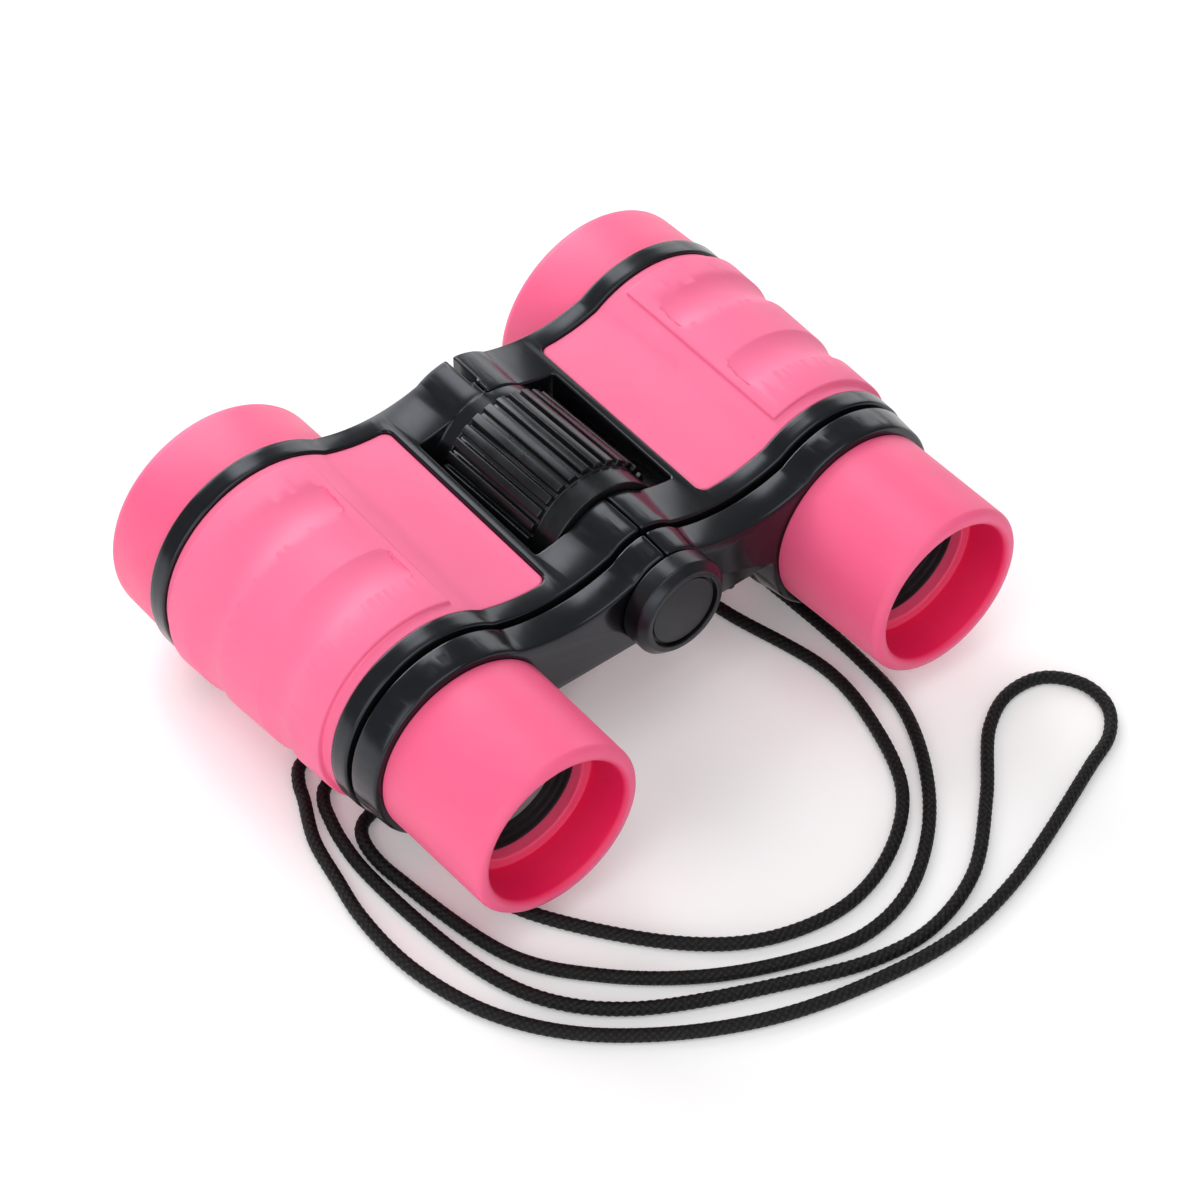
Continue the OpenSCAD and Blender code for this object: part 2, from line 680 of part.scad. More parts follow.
// Eyecup of one half
module half_eyecup() {
  bore_end_y = rim_y + eyecup_bore_depth;
  sleeve_r = tube_r + seat_gap;
  turned(barrel_x, axis_z) {
    difference() {
      polygon([
        [eyecup_bore_r, rim_y], [eyecup_rim_r, rim_y], [eyecup_rim_r, rim_y + eyecup_round],
        [eyecup_r, arm_front_y], [sleeve_r, arm_front_y],
        [sleeve_r, tube_front_y], [eyecup_shoulder_r, tube_front_y], [eyecup_shoulder_r, bore_end_y],
        [eyecup_bore_r, bore_end_y]
      ]);
      corner_cut(eyecup_rim_r, rim_y, eyecup_round, 1, -1);
      corner_cut(eyecup_bore_r, rim_y, eyecup_inner_round, -1, -1);
    }
    corner_round(eyecup_rim_r, rim_y, eyecup_round, 1, -1);
    corner_round(eyecup_bore_r, rim_y, eyecup_inner_round, -1, -1);
  }
}

// Eye lens of one half
module half_eye_lens() {
  lens(eye_seat_y, eye_lens_y, pocket_r - seat_gap, eye_ring_r - seat_gap, eye_dome_r, -1);
}

// Ring that holds the eye lens
module half_eye_ring() {
  difference() {
    rod(tube_front_y, eye_lens_y, pocket_r - seat_gap, barrel_x, axis_z);
    rod(tube_front_y - overrun, eye_lens_y + overrun, eye_ring_r, barrel_x, axis_z);
  }
}

// Left half
module left_frame() { color(black) on_side(false) half_frame(true); }
module left_grip() { color(pink) on_side(false) half_grip(); }
module left_objective_hood() { color(pink) on_side(false) half_hood(); }
module left_objective_lens() { color(glass) on_side(false) half_objective_lens(); }
module left_objective_ring() { color(black) on_side(false) half_objective_ring(); }
module left_arm() { color(black) on_side(false) half_arm(true); }
module left_draw_tube() { color(black) on_side(false) half_draw_tube(); }
module left_eyecup() { color(pink) on_side(false) half_eyecup(); }
module left_eye_lens() { color(glass) on_side(false) half_eye_lens(); }
module left_eye_ring() { color(black) on_side(false) half_eye_ring(); }

// Right half
module right_frame() { color(black) on_side(true) half_frame(false); }
module right_grip() { color(pink) on_side(true) half_grip(); }
module right_objective_hood() { color(pink) on_side(true) half_hood(); }
module right_objective_lens() { color(glass) on_side(true) half_objective_lens(); }
module right_objective_ring() { color(black) on_side(true) half_objective_ring(); }
module right_arm() { color(black) on_side(true) half_arm(false); }
module right_draw_tube() { color(black) on_side(true) half_draw_tube(); }
module right_eyecup() { color(pink) on_side(true) half_eyecup(); }
module right_eye_lens() { color(glass) on_side(true) half_eye_lens(); }
module right_eye_ring() { color(black) on_side(true) half_eye_ring(); }

// Ribbed focus wheel with its collar and its bores
module focus_wheel() {
  color(black) {
    turned(0, hinge_z)
      polygon([
        [pivot_r + run_gap, wheel_near_y], [wheel_collar_r, wheel_near_y], [wheel_collar_r, rib_near_y],
        [wheel_core_r, rib_near_y], [wheel_core_r, wheel_far_y], [pin_r + run_gap, wheel_far_y],
        [pin_r + run_gap, nut_far_y], [nut_r + seat_gap, nut_far_y], [nut_r + seat_gap, nut_near_y],
        [pivot_r + run_gap, nut_near_y]
      ]);
    for (i = [0 : rib_count - 1])
      translate([0, 0, hinge_z]) rotate([0, i * 360 / rib_count, 0])
        translate([-rib_w / 2, rib_near_y, wheel_core_r - rib_root])
          cube([rib_w, wheel_far_y - rib_near_y, rib_depth + rib_root]);
  }
}

// Threaded nut inside the wheel
module focus_nut() {
  color(brass) difference() {
    rod(nut_near_y, nut_far_y, nut_r, 0, hinge_z);
    rod(nut_near_y - overrun, nut_far_y + overrun, pin_r + run_gap, 0, hinge_z);
  }
}

// Spindle that pulls the eyepiece bridge
module focus_spindle() {
  color(metal) rod(spindle_front_y, spindle_end_y, pin_r, 0, hinge_z);
}

// Tube on which the near knuckles and the wheel turn
module pivot_tube() {
  color(metal) difference() {
    rod(near_y, pivot_end_y, pivot_r, 0, hinge_z);
    rod(near_y - overrun, pivot_end_y + overrun, pin_r + run_gap, 0, hinge_z);
  }
}

// Pin through the far knuckles, which also carries the wheel
module hinge_pin() {
  color(metal) rod(pin_end_y, far_y, pin_r, 0, hinge_z);
}

// Round cap on the spindle
module hinge_cap() {
  color(black) turned(0, hinge_z)
    polygon([
      [0, spindle_front_y], [pin_r + seat_gap, spindle_front_y], [pin_r + seat_gap, cap_back_y],
      [cap_r, cap_back_y], [cap_r, cap_front_y + cap_chamfer], [cap_r - cap_chamfer, cap_front_y],
      [cap_recess_r, cap_front_y], [cap_recess_r, recess_y], [0, recess_y]
    ]);
}

// Disc set in the recess of the cap
module cap_inlay() {
  color(black) rod(recess_y - inlay_t, recess_y, cap_recess_r - seat_gap, 0, hinge_z);
}

// Direction of the cord at each point of its line
function cord_way(i) =
  let (
    a = cord_line[max(i - 1, 0)],
    b = cord_line[min(i + 1, len(cord_line) - 1)]
  ) (b - a) / norm(b - a);

// Ring of points round the cord
function cord_ring(i) =
  let (
    way = cord_way(i),
    flat = cross(way, [0, 0, 1]),
    side = flat / norm(flat),
    top = cross(side, way)
  ) [
    for (j = [0 : cord_sides - 1])
      let (a = (j + 1 / 2) * 360 / cord_sides)
        cord_line[i] + cord_r * (cos(a) * side + sin(a) * top)
  ];

// Neck cord, swept along its line
module strap_cord() {
  n = len(cord_line);
  points = [for (i = [0 : n - 1]) each cord_ring(i)];
  walls = [
    for (i = [0 : n - 2], j = [0 : cord_sides - 1])
      let (
        k = (j + 1) % cord_sides,
        a = i * cord_sides + j,
        b = i * cord_sides + k,
        c = a + cord_sides,
        d = b + cord_sides
      ) each [[a, c, b], [b, c, d]]
  ];
  start = [for (j = [0 : cord_sides - 1]) j];
  finish = [for (j = [cord_sides - 1 : -1 : 0]) (n - 1) * cord_sides + j];
  color(black) polyhedron(points = points, faces = concat(walls, [start, finish]));
}

// Knot at an end of the cord: the cord meets its flat
module knot(x) {
  translate([x, lug_near_y - cord_gap - knot_flat, lug_z])
    intersection() {
      sphere(r = knot_r);
      translate([-knot_r, -knot_r, -knot_r]) cube([2 * knot_r, knot_r + knot_flat, 2 * knot_r]);
    }
}
module left_strap_knot() { color(black) knot(-lug_x); }
module right_strap_knot() { color(black) knot(lug_x); }

left_frame();
left_grip();
left_objective_hood();
left_objective_lens();
left_objective_ring();
left_arm();
left_draw_tube();
left_eyecup();
left_eye_lens();
left_eye_ring();
right_frame();
right_grip();
right_objective_hood();
right_objective_lens();
right_objective_ring();
right_arm();
right_draw_tube();
right_eyecup();
right_eye_lens();
right_eye_ring();
focus_wheel();
focus_nut();
focus_spindle();
pivot_tube();
hinge_pin();
hinge_cap();
cap_inlay();
strap_cord();
left_strap_knot();
right_strap_knot();
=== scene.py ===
# Toy binoculars: pink grips and cups on a folding black frame, a focus wheel and a neck cord
import math
import bpy
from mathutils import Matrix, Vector
from mathutils.bvhtree import BVHTree
from mathutils.geometry import intersect_point_line


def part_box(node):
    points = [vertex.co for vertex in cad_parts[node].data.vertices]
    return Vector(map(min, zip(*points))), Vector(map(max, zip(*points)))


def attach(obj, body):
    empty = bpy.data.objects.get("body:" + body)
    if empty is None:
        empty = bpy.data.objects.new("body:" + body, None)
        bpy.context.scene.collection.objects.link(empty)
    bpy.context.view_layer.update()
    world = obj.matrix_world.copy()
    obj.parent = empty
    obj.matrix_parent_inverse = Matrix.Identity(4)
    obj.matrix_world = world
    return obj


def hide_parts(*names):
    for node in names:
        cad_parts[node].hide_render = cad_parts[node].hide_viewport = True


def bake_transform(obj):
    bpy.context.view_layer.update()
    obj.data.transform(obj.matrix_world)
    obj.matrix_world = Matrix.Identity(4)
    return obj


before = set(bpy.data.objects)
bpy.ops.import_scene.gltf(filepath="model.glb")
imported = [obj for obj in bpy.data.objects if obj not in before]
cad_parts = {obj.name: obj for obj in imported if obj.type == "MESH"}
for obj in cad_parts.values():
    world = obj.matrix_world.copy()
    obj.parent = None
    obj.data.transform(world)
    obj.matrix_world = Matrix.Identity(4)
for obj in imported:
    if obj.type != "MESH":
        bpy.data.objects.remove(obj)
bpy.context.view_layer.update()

MM = 0.001
SIDES = ("left", "right")

# Fits and roundings of the moulded pieces
SEAT_GAP = 0.05 * MM
FRAME_EDGE = 0.4 * MM
ARM_EDGE = 0.45 * MM
GRIP_EDGE = 0.35 * MM
GRIP_SEGMENTS = 6
WHEEL_EDGE = 0.2 * MM
SHARP_ANGLE = math.radians(28)
RIDGE_ANGLE = math.radians(10)
SMOOTH_ANGLE = math.radians(32)
FLAT_ANGLE = math.radians(0.4)

# Mending of meshes: doubled points, slivers, strays and folded faces
DOUBLES_GAP = 0.001 * MM
CAD_DOUBLES_GAP = 0.003 * MM
SLIVER = 0.002 * MM
STRAY_SHARE = 0.32
FOLDED_OVER = -0.5

# Small roundings of the turned pieces
EDGE_ROUND = 0.35 * MM
LEDGE_ROUND = 0.25 * MM
FINE_ROUND = 0.2 * MM
GROOVE_ROUND = 0.15 * MM
RING_ROUND = 0.1 * MM
RING_MOUTH_ROUND = 0.12 * MM
RING_STEP_ROUND = 0.08 * MM

# Walls and steps of the hoods
HOOD_WALL = 3.0 * MM
HOOD_ROUND = 2.1 * MM
MOUTH_ROUND = 0.6 * MM
SPIGOT_STEP = 3.4 * MM
SPIGOT_WALL = 2.5 * MM
RING_LIP = 1.1 * MM
OBJECTIVE_DOME = 60.0 * MM

# Walls and steps of the eyecups
CUP_TAPER = 0.4 * MM
RIM_WALL = 2.5 * MM
RIM_ROUND = 1.4 * MM
RIM_INNER_ROUND = 0.9 * MM
CUP_DEPTH = 8.0 * MM
SHOULDER_STEP = 1.7 * MM
EYE_LIP = 2.0 * MM
EYE_DOME = 40.0 * MM

# Hinge cap
CAP_CHAMFER = 1.2 * MM
CAP_ROUND = 0.5 * MM
CAP_FOOT_ROUND = 0.3 * MM
CAP_SOCKET = 2.4 * MM
DISC_GROOVE = 0.45 * MM
DISC_FOOT = 0.1 * MM

# Neck cord: thickness and braid
CORD_R = 1.1 * MM
CORD_SIDES = 24
CORD_STEP = 0.25 * MM
BRAID_STRANDS = 6
BRAID_PITCH = 7.2 * MM
BRAID_RELIEF = 0.17 * MM
STRAND_FLATNESS = 0.7
STRAND_LOW = 0.55
STRAND_RISE = 0.45

# Knots at the ends of the cord, and the way from knot to lug mouth
LUG_DEPTH = 2.6 * MM
KNOT_STRAND_SHARE = 0.44
KNOT_DEPTH = 1.3
KNOT_POINTS = 150
KNOT_SIDES = 16
KNOT_PITCH = 3.0 * MM
KNOT_RELIEF = 0.05 * MM

# Route of the cord where it lies free: x, y and rise above the surface, in millimetres
CORD_ROUTE = [
    (-18, -6, 12.6), (-18.6, -1.6, 9.8), (-20.6, 0.4, 5.7), (-23.2, -1.2, 1.9), (-25.2, -5.6, 0),
    (-27.5, -9.4, 0), (-30.2, -12.1, 0), (-33.9, -12.7, 0), (-37.1, -10.8, 0), (-39.2, -7.3, 0),
    (-40.9, -3.5, 0), (-42.3, -0.1, 0), (-43.5, 2.6, 0), (-45.5, 4.75, 0), (-48.1, 5.42, 0),
    (-50.7, 4.5, 0), (-52.6, 1.9, 0), (-54, -1.4, 0), (-57.4, -8.8, 0), (-59.3, -17.5, 0),
    (-60.7, -25.5, 0), (-60.6, -37.5, 0), (-57, -50.5, 0), (-50, -61, 0), (-38.5, -70.5, 0),
    (-24.5, -77.7, 0), (-9.5, -81.6, 0), (4.5, -83, 0), (18.5, -80.8, 0), (43.5, -71.8, 0),
    (50.5, -69, 0), (54.5, -64.5, 0), (54.8, -59, 0), (51, -54, 0), (44.5, -53, 0),
    (37.5, -56, 0), (26.5, -66.5, 0), (14.5, -76, 0), (2.5, -79.6, 0), (-7.5, -78.6, 0),
    (-18.5, -74.5, 0), (-40.5, -63.3, 0), (-49, -54.3, 0), (-53.1, -43.5, 0), (-55.1, -19.5, 0),
    (-54.3, -11.5, 0), (-53.1, -6.8, 0), (-51.9, -3.6, 0), (-50.2, -1.45, 0), (-47.7, -0.64, 0),
    (-45.3, -1.25, 0), (-43.6, -3, 0), (-43.05, -5.3, 0), (-43.75, -7.6, 0), (-45.3, -9.15, 0),
    (-47.4, -9.9, 0), (-49.5, -10.65, 0), (-51, -12.05, 0), (-52, -14.6, 0), (-52.4, -18, 0),
    (-52.2, -22, 0), (-48, -45, 0), (-40, -56, 0), (-28.5, -65.5, 0), (-15.5, -71.8, 0),
    (-5.5, -74.3, 0), (4.5, -72.5, 0), (15, -65.8, 0), (23.5, -56.2, 0), (29.5, -44.5, 0),
    (31.3, -32.5, 0), (31.6, -13, 0), (31.4, -6, 0), (30.4, -3, 0), (27.9, -1.1, 0),
    (24.7, -1.1, 0), (22.2, -3, 0), (21.2, -6, 0), (21.8, -12, 0), (25.7, -31.5, 0),
    (23.5, -44.5, 0), (17.5, -57.5, 0), (7, -65.5, 0), (-4.5, -68.5, 0), (-17.5, -65.7, 0),
    (-28.5, -57.5, 0), (-42, -38, 0), (-42.8, -32, 0), (-38.5, -27.2, 0), (-28, -24.6, 0),
    (-20.5, -17.6, 0), (-7.5, -3.6, 0), (11, 0.6, 0), (15, 0.8, 1.6), (17.6, -1, 5.8),
    (18.2, -5.4, 11.2),
]

# Camera at the angle of the photograph
CAMERA_TURN = math.radians(-39.17)
CAMERA_RISE = math.radians(45.34)
CAMERA_AWAY = 490.0 * MM
CAMERA_LENS = 95.01
CAMERA_SENSOR = 36.0
CAMERA_SPAN = (0.01, 20.0)
CAMERA_AIM = Vector((-1.24, -7.72, 15.5)) * MM

# Studio: floor, surround, and each lamp's place, size and power
FLOOR_SIZE = 12.0
FLOOR_GLOW = 0.16
WORLD_LEVEL = 0.29
LAMP_AIM = Vector((0, 0, 0.02))
LAMPS = {
    "back_lamp": ((0.06, 0.76, 0.42), (0.7, 0.4), 4.9),
    "front_lamp": ((-0.04, -0.32, 0.80), (0.7, 0.7), 2.4),
    "fill_lamp": ((-0.40, -0.75, 0.28), (0.6, 0.4), 1.5),
    "left_lamp": ((-0.75, -0.10, 0.45), (0.5, 0.8), 2.3),
    "right_lamp": ((0.75, 0.50, 0.28), (0.5, 0.45), 1.2),
    "hinge_lamp": ((0.13, 0.50, 0.76), (0.3, 0.3), 1.1),
}


def place_camera():
    """Long lens, looking down at the eyecup end from the left."""
    back = Vector((
        math.sin(CAMERA_TURN) * math.cos(CAMERA_RISE),
        -math.cos(CAMERA_TURN) * math.cos(CAMERA_RISE),
        math.sin(CAMERA_RISE),
    ))
    camera_data = bpy.data.cameras.new("photo_camera")
    camera_data.lens = CAMERA_LENS
    camera_data.sensor_width = CAMERA_SENSOR
    camera_data.clip_start, camera_data.clip_end = CAMERA_SPAN
    camera = bpy.data.objects.new("photo_camera", camera_data)
    camera.location = CAMERA_AIM + back * CAMERA_AWAY
    camera.rotation_euler = (math.pi / 2 - CAMERA_RISE, 0, CAMERA_TURN)
    bpy.context.collection.objects.link(camera)
    bpy.context.scene.camera = camera


place_camera()


# Working at the bench: selecting, finishing and measuring

def pick(piece):
    """Selects one piece alone and makes it the active one."""
    if bpy.context.object and bpy.context.object.mode != "OBJECT":
        bpy.ops.object.mode_set(mode="OBJECT")
    bpy.ops.object.select_all(action="DESELECT")
    piece.select_set(True)
    bpy.context.view_layer.objects.active = piece


def open_mesh(piece):
    """Opens a piece for editing, with all of its mesh selected."""
    pick(piece)
    bpy.ops.object.mode_set(mode="EDIT")
    bpy.ops.mesh.select_all(action="SELECT")


def close_mesh():
    """Ends the editing of the open mesh."""
    bpy.ops.object.mode_set(mode="OBJECT")


def apply_modifier(piece, kind, **settings):
    """Adds one modifier with its settings and applies it."""
    pick(piece)
    modifier = piece.modifiers.new(kind.lower(), kind)
    for key, value in settings.items():
        setattr(modifier, key, value)
    bpy.ops.object.modifier_apply(modifier=modifier.name)


def close_and_turn_out(piece):
    """Merges doubled points and turns all faces outwards."""
    open_mesh(piece)
    bpy.ops.mesh.remove_doubles(threshold=DOUBLES_GAP)
    bpy.ops.mesh.normals_make_consistent(inside=False)
    close_mesh()


def smooth(piece, angle=SMOOTH_ANGLE):
    """Shades a piece smooth, apart from edges sharper than the angle."""
    pick(piece)
    bpy.ops.object.shade_smooth_by_angle(angle=angle)


def turning(node):
    """Axis, radius and ends of a node that is turned round a line along Y."""
    low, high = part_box(node)
    return {
        "x": (low[0] + high[0]) / 2,
        "z": (low[2] + high[2]) / 2,
        "r": (high[0] - low[0]) / 2,
        "near": low[1],
        "far": high[1],
    }


def dress(piece, node, body, finish):
    """Gives a piece its finish and its body, and hides the CAD node it stands for."""
    piece.data.materials.clear()
    piece.data.materials.append(finish)
    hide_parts(node)
    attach(piece, body)


def merged_copy(node, name):
    """Copy of a CAD solid with its doubles merged and its flat faces joined."""
    piece = bpy.data.objects.new(name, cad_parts[node].data.copy())
    bpy.context.collection.objects.link(piece)
    open_mesh(piece)
    bpy.ops.mesh.remove_doubles(threshold=CAD_DOUBLES_GAP)
    bpy.ops.mesh.dissolve_limited(angle_limit=FLAT_ANGLE)
    close_mesh()
    return piece


def moulded_copy(node, name, edge, segments=3, crisp=SMOOTH_ANGLE):
    """Copy of a CAD solid with every sharp edge rounded, and strays set back on its surface."""
    piece = merged_copy(node, name)
    surface = BVHTree.FromPolygons(
        [point.co.copy() for point in piece.data.vertices],
        [tuple(face.vertices) for face in piece.data.polygons],
    )
    apply_modifier(
        piece, "BEVEL", width=edge, segments=segments, limit_method="ANGLE",
        angle_limit=SHARP_ANGLE, use_clamp_overlap=False, miter_outer="MITER_ARC",
    )
    for point in piece.data.vertices:
        nearest, _, _, away = surface.find_nearest(point.co)
        if away > edge * STRAY_SHARE:
            point.co = nearest
    press_folds(piece, surface, edge)
    smooth(piece, crisp)
    return piece


def press_folds(piece, surface, edge):
    """Presses flat the small three-cornered faces that the rounding folded over."""
    piece.data.update()
    for face in piece.data.polygons:
        outward = surface.find_nearest(face.center)[1]
        if len(face.vertices) != 3 or face.normal.dot(outward) > FOLDED_OVER:
            continue
        corners = [piece.data.vertices[i] for i in face.vertices]
        moves = []
        for i, tip in enumerate(corners):
            first, second = corners[i - 1].co, corners[i - 2].co
            part = intersect_point_line(tip.co, first, second)[1]
            foot = first.lerp(second, min(1.0, max(0.0, part)))
            moves.append(((foot - tip.co).length, i, foot))
        way, i, foot = min(moves, key=lambda move: move[:2])
        if way < edge:
            corners[i].co = foot
    open_mesh(piece)
    bpy.ops.mesh.dissolve_degenerate(threshold=SLIVER)
    close_mesh()


def rounded_outline(corners, steps=6):
    """Outline of radius and place along Y, each corner given with its own rounding."""
    outline = []
    count = len(corners)
    for i, (r, y, rounding) in enumerate(corners):
        here = Vector((r, y))
        if rounding <= 0:
            outline.append(here)
            continue
        before = (Vector(corners[i - 1][:2]) - here).normalized()
        after = (Vector(corners[(i + 1) % count][:2]) - here).normalized()
        half = before.angle(after) / 2
        centre = here + (before + after).normalized() * (rounding / math.sin(half))
        start = here + before * (rounding / math.tan(half)) - centre
        finish = here + after * (rounding / math.tan(half)) - centre
        sweep = start.angle_signed(finish)
        for step in range(steps + 1):
            turn = -sweep * step / steps
            arm = Vector((
                start.x * math.cos(turn) - start.y * math.sin(turn),
                start.x * math.sin(turn) + start.y * math.cos(turn),
            ))
            outline.append(centre + arm)
    return outline


def turned_piece(name, outline, x, z, steps=144):
    """Closed outline of radius and place along Y, spun round a line along Y."""
    bpy.ops.object.select_all(action="DESELECT")
    bpy.ops.mesh.primitive_circle_add(vertices=len(outline), radius=1.0 * MM)
    piece = bpy.context.object
    piece.name = name
    piece.data.name = name
    for point, (r, y) in zip(piece.data.vertices, outline):
        point.co = (x + r, y, z)
    open_mesh(piece)
    bpy.ops.mesh.spin(steps=steps, angle=math.tau, center=(x, 0, z), axis=(0, 1, 0))
    close_mesh()
    close_and_turn_out(piece)
    smooth(piece)
    return piece


# Node trees of the finishes

def new_finish(name):
    """Empty finish with its shader, and the place of each point on the piece."""
    finish = bpy.data.materials.new(name)
    finish.use_nodes = True
    tree = finish.node_tree
    shader = tree.nodes["Principled BSDF"]
    place = tree.nodes.new("ShaderNodeTexCoord")
    return finish, tree, shader, place


def noise(tree, place, scale, detail=3.0, roughness=0.5, stretch=None):
    """Noise on the piece, finer with a larger scale, and stretched where asked."""
    texture = tree.nodes.new("ShaderNodeTexNoise")
    texture.inputs["Scale"].default_value = scale
    texture.inputs["Detail"].default_value = detail
    texture.inputs["Roughness"].default_value = roughness
    socket = place.outputs["Object"]
    if stretch:
        mapping = tree.nodes.new("ShaderNodeMapping")
        mapping.inputs["Scale"].default_value = stretch
        tree.links.new(socket, mapping.inputs["Vector"])
        socket = mapping.outputs["Vector"]
    tree.links.new(socket, texture.inputs["Vector"])
    return texture.outputs["Fac"]


def spread(tree, value, low, high, start=0.3, end=0.7):
    """Stretches a value from its usual span to the span that is wanted."""
    node = tree.nodes.new("ShaderNodeMapRange")
    node.inputs["From Min"].default_value = start
    node.inputs["From Max"].default_value = end
    node.inputs["To Min"].default_value = low
    node.inputs["To Max"].default_value = high
    tree.links.new(value, node.inputs["Value"])
    return node.outputs["Result"]


def between(tree, value, first, second):
    """Colour between two colours, by a value from 0 to 1."""
    node = tree.nodes.new("ShaderNodeMix")
    node.data_type = "RGBA"
    node.inputs["A"].default_value = (*first, 1)
    node.inputs["B"].default_value = (*second, 1)
    tree.links.new(value, node.inputs["Factor"])
    return node.outputs["Result"]


def bump(tree, shader, layers):
    """Chain of bumps, each with its height, strength and depth."""
    last = None
    for height, strength, depth in layers:
        node = tree.nodes.new("ShaderNodeBump")
        node.inputs["Strength"].default_value = strength
        node.inputs["Distance"].default_value = depth
        tree.links.new(height, node.inputs["Height"])
        if last:
            tree.links.new(last, node.inputs["Normal"])
        last = node.outputs["Normal"]
    tree.links.new(last, shader.inputs["Normal"])


def set_sockets(shader, **values):
    """Plain values on the shader's own sockets."""
    for key, value in values.items():
        shader.inputs[key.replace("_", " ").title()].default_value = value


# Finishes of this toy

# Painted shade in the eyecup bore: its deep crimson, the lighter share of it on the ledge, and the
# clearance that sets the ledge apart from the wall.
BORE_SHADE_PINK = (0.86, 0.008, 0.098)
LEDGE_SHADE_SHARE = 0.3
LEDGE_CLEAR = 0.1 * MM
COOL_SHINE = (0.84, 0.90, 1.0, 1)


def soft_pink(name, light, deep, rough, grain):
    """Soft pink plastic: a cloudy tone, a painted shade that deepens it inside a cup, a satin skin
    and a fine grain.
    """
    finish, tree, shader, place = new_finish(name)
    cloud = spread(tree, noise(tree, place, 70.0, 3.0), 0.0, 1.0)
    # The inside attribute is the mask of the painted shade in a cup's bore; it blends the tone
    # towards the deep crimson painted shade.
    inside = tree.nodes.new("ShaderNodeAttribute")
    inside.attribute_name = "inside"
    tone = tree.nodes.new("ShaderNodeMix")
    tone.data_type = "RGBA"
    tree.links.new(inside.outputs["Fac"], tone.inputs["Factor"])
    tree.links.new(between(tree, cloud, deep, light), tone.inputs["A"])
    tone.inputs["B"].default_value = (*BORE_SHADE_PINK, 1)
    tree.links.new(tone.outputs["Result"], shader.inputs["Base Color"])
    patch = noise(tree, place, 160.0, 4.0)
    tree.links.new(spread(tree, patch, rough - 0.05, rough + 0.05), shader.inputs["Roughness"])
    bump(tree, shader, [
        (noise(tree, place, 420.0, 2.0), 0.10, 0.05 * MM),
        (noise(tree, place, 3800.0, 2.0), grain, 0.02 * MM),
    ])
    set_sockets(shader, subsurface_weight=0.12, subsurface_scale=1.2 * MM)
    shader.inputs["Subsurface Radius"].default_value = (1.0, 0.35, 0.4)
    return finish


def gloss_black(name, tone, rough, ripple):
    """Moulded black plastic: a soft gloss with faint flow marks and rub marks."""
    finish, tree, shader, place = new_finish(name)
    cloud = spread(tree, noise(tree, place, 90.0, 3.0), 0.0, 1.0)
    warm = (tone * 0.8, tone * 0.8, tone * 1.0)
    pale = (tone * 1.1, tone * 1.15, tone * 1.4)
    tree.links.new(between(tree, cloud, warm, pale), shader.inputs["Base Color"])
    rub = noise(tree, place, 240.0, 5.0, 0.65, stretch=(1.0, 0.35, 1.0))
    tree.links.new(spread(tree, rub, rough * 0.8, rough * 1.25), shader.inputs["Roughness"])
    bump(tree, shader, [
        (noise(tree, place, 130.0, 2.0), ripple, 0.08 * MM),
        (noise(tree, place, 2600.0, 2.0), 0.05, 0.01 * MM),
    ])
    shader.inputs["Specular Tint"].default_value = COOL_SHINE
    return finish


def matte_black(name, tone, rough, grain):
    """Matte black plastic with a fine spark-eroded grain."""
    finish, tree, shader, place = new_finish(name)
    cloud = spread(tree, noise(tree, place, 150.0, 4.0), 0.0, 1.0)
    shade = between(tree, cloud, (tone * 0.8,) * 3, (tone * 1.3,) * 3)
    tree.links.new(shade, shader.inputs["Base Color"])
    patch = noise(tree, place, 300.0, 4.0)
    tree.links.new(spread(tree, patch, rough - 0.06, rough + 0.06), shader.inputs["Roughness"])
    bump(tree, shader, [(noise(tree, place, 4200.0, 2.0), grain, 0.03 * MM)])
    shader.inputs["Specular Tint"].default_value = COOL_SHINE
    return finish


def turned_metal(name, colour, rough):
    """Turned metal with fine rings along its length."""
    finish, tree, shader, place = new_finish(name)
    ring = noise(tree, place, 900.0, 3.0, 0.6, stretch=(0.04, 1.0, 0.04))
    shade = tuple(c * 0.8 for c in colour)
    tree.links.new(between(tree, ring, shade, colour), shader.inputs["Base Color"])
    tree.links.new(spread(tree, ring, rough - 0.08, rough + 0.12), shader.inputs["Roughness"])
    bump(tree, shader, [(ring, 0.25, 0.02 * MM)])
    set_sockets(shader, metallic=1.0)
    return finish


def coated_glass(name, tint, clear):
    """Lens with a faint coating and a little dust on it, as clear as is asked."""
    finish, tree, shader, place = new_finish(name)
    dust = spread(tree, noise(tree, place, 900.0, 5.0, 0.7), 0.02, 0.07, 0.4, 0.7)
    tree.links.new(dust, shader.inputs["Roughness"])
    cloud = spread(tree, noise(tree, place, 60.0, 2.0), 0.0, 1.0)
    pale = tuple(min(1.0, c * 1.06) for c in tint)
    tree.links.new(between(tree, cloud, tint, pale), shader.inputs["Base Color"])
    set_sockets(shader, transmission_weight=clear, coat_weight=0.4, coat_roughness=0.04)
    shader.inputs["IOR"].default_value = 1.5
    return finish


